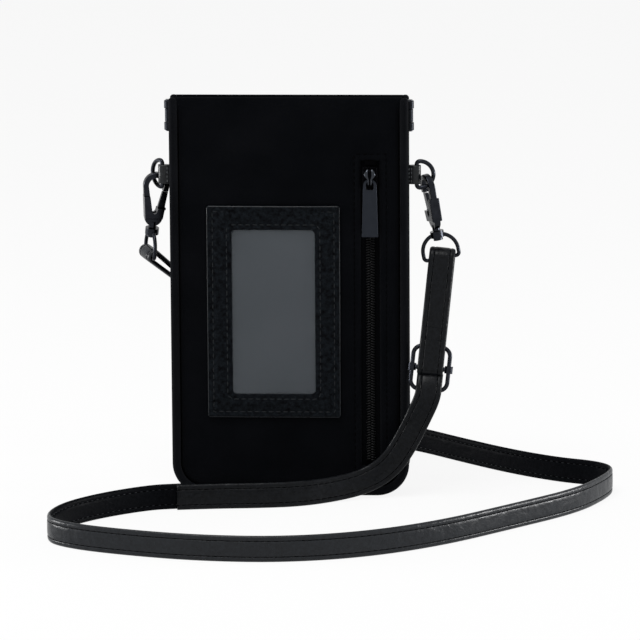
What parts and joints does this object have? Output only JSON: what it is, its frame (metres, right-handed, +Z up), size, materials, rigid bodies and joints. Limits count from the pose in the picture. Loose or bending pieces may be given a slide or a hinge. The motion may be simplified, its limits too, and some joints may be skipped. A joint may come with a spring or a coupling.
{
  "type": "phone pouch",
  "caption": "Slim upright phone pouch with a squeeze-open spring mouth, a clear card window, a side zip pocket and a clip-on adjustable shoulder strap.",
  "frame": {"origin": "middle of the pouch's flat base on the floor", "axes": "+Z up towards the mouth, +X to the pouch's right seen from its front, -Y out of the front with the window and the zip"},
  "size_m": [0.2586, 0.2202, 0.1874],
  "materials": {
    "shell_fabric": "matt woven",
    "foam": "soft foam",
    "lining_fabric": "fine woven",
    "zip_tape": "woven tape",
    "zip_coil": "satin",
    "leather": "fine pebbled",
    "clear_film": "clear soft film",
    "spring_steel": "blackened",
    "dark_metal": "black nickel"
  },
  "bodies": {
    "pouch": {"front_piping": "shell_fabric", "back_piping": "shell_fabric", "front_panel": "shell_fabric", "back_panel": "shell_fabric", "gusset": "shell_fabric", "front_padding": "foam", "back_padding": "foam", "front_lining": "lining_fabric", "back_lining": "lining_fabric", "frame_pin_left": "spring_steel", "frame_pin_right": "spring_steel", "window_frame": "leather", "window_film": "clear_film", "zip_pocket_bag": "lining_fabric", "zip_tape_left": "zip_tape", "zip_tape_right": "zip_tape", "zip_teeth_left": "zip_coil", "zip_teeth_right": "zip_coil", "zip_stop_top": "dark_metal", "zip_stop_bottom": "dark_metal", "strap_tab_left": "leather", "strap_tab_right": "leather", "strap_front_length": "leather", "strap_back_length": "leather"},
    "front_lip": {"front_blade": "spring_steel"},
    "back_lip": {"back_blade": "spring_steel"},
    "zip_slider": {"zip_slider": "dark_metal"},
    "zip_pull": {"zip_pull": "dark_metal"},
    "right_ring": {"d_ring_right": "dark_metal", "swivel_ring_right": "dark_metal", "strap_loop": "leather", "slider_frame": "dark_metal", "slider_bar": "dark_metal"},
    "right_hook": {"hook_body_right": "dark_metal", "gate_pin_right": "dark_metal", "gate_spring_right": "spring_steel"},
    "right_gate": {"hook_gate_right": "dark_metal"},
    "left_ring": {"d_ring_left": "dark_metal", "swivel_ring_left": "dark_metal", "strap_end_fold": "leather"},
    "left_hook": {"hook_body_left": "dark_metal", "gate_pin_left": "dark_metal", "gate_spring_left": "spring_steel"},
    "left_gate": {"hook_gate_left": "dark_metal"}
  },
  "joints": [
    {"name": "mouth", "type": "slide", "parent": "pouch", "child": "front_lip", "axis": [0, -1, 0], "range_m": [0, 0.011], "stiffness_N_per_m": 150, "springref_m": -0.002, "deforming": ["front_blade"]},
    {"name": "mouth_back", "type": "slide", "parent": "pouch", "child": "back_lip", "axis": [0, 1, 0], "range_m": [0, 0.011], "stiffness_N_per_m": 150, "springref_m": -0.002, "deforming": ["back_blade"]},
    {"name": "zip", "type": "slide", "parent": "pouch", "child": "zip_slider", "axis": [0, -0.0203, -0.9998], "range_m": [0, 0.118]},
    {"name": "zip_pull_hinge", "type": "hinge", "parent": "zip_slider", "child": "zip_pull", "pos_m": [0.0375, -0.00867, 0.14917], "axis": [-1, 0, 0], "range_deg": [0, 100]},
    {"name": "right_ring_swing", "type": "hinge", "parent": "pouch", "child": "right_ring", "pos_m": [0.0588, 0, 0.1506], "axis": [0, 0, 1], "range_deg": [-5, 40], "deforming": ["strap_front_length"]},
    {"name": "right_hook_swivel", "type": "hinge", "parent": "right_ring", "child": "right_hook", "pos_m": [0.06787, 0, 0.12435], "axis": [-0.1908, 0, 0.9816], "range_deg": [-14, 6]},
    {"name": "right_gate_hinge", "type": "hinge", "parent": "right_hook", "child": "right_gate", "pos_m": [0.06563, 0.00238, 0.13044], "axis": [0.8995, 0.4005, 0.1748], "range_deg": [0, 20], "stiffness_Nm_per_rad": 0.03, "springref_deg": -17.19},
    {"name": "left_ring_swing", "type": "hinge", "parent": "pouch", "child": "left_ring", "pos_m": [-0.0588, 0, 0.1506], "axis": [0, 0, 1], "range_deg": [-3, 45], "deforming": ["strap_back_length"]},
    {"name": "left_hook_swivel", "type": "hinge", "parent": "left_ring", "child": "left_hook", "pos_m": [-0.06439, 0.00666, 0.12429], "axis": [0.1116, -0.133, 0.9848], "range_deg": [-3, 14]},
    {"name": "left_gate_hinge", "type": "hinge", "parent": "left_hook", "child": "left_gate", "pos_m": [-0.06119, 0.00656, 0.13041], "axis": [0.2721, -0.949, -0.159], "range_deg": [0, 20], "stiffness_Nm_per_rad": 0.03, "springref_deg": -17.19}
  ],
  "couplings": [
    {"joint": "mouth_back", "follows": "mouth", "ratio": 1}
  ]
}
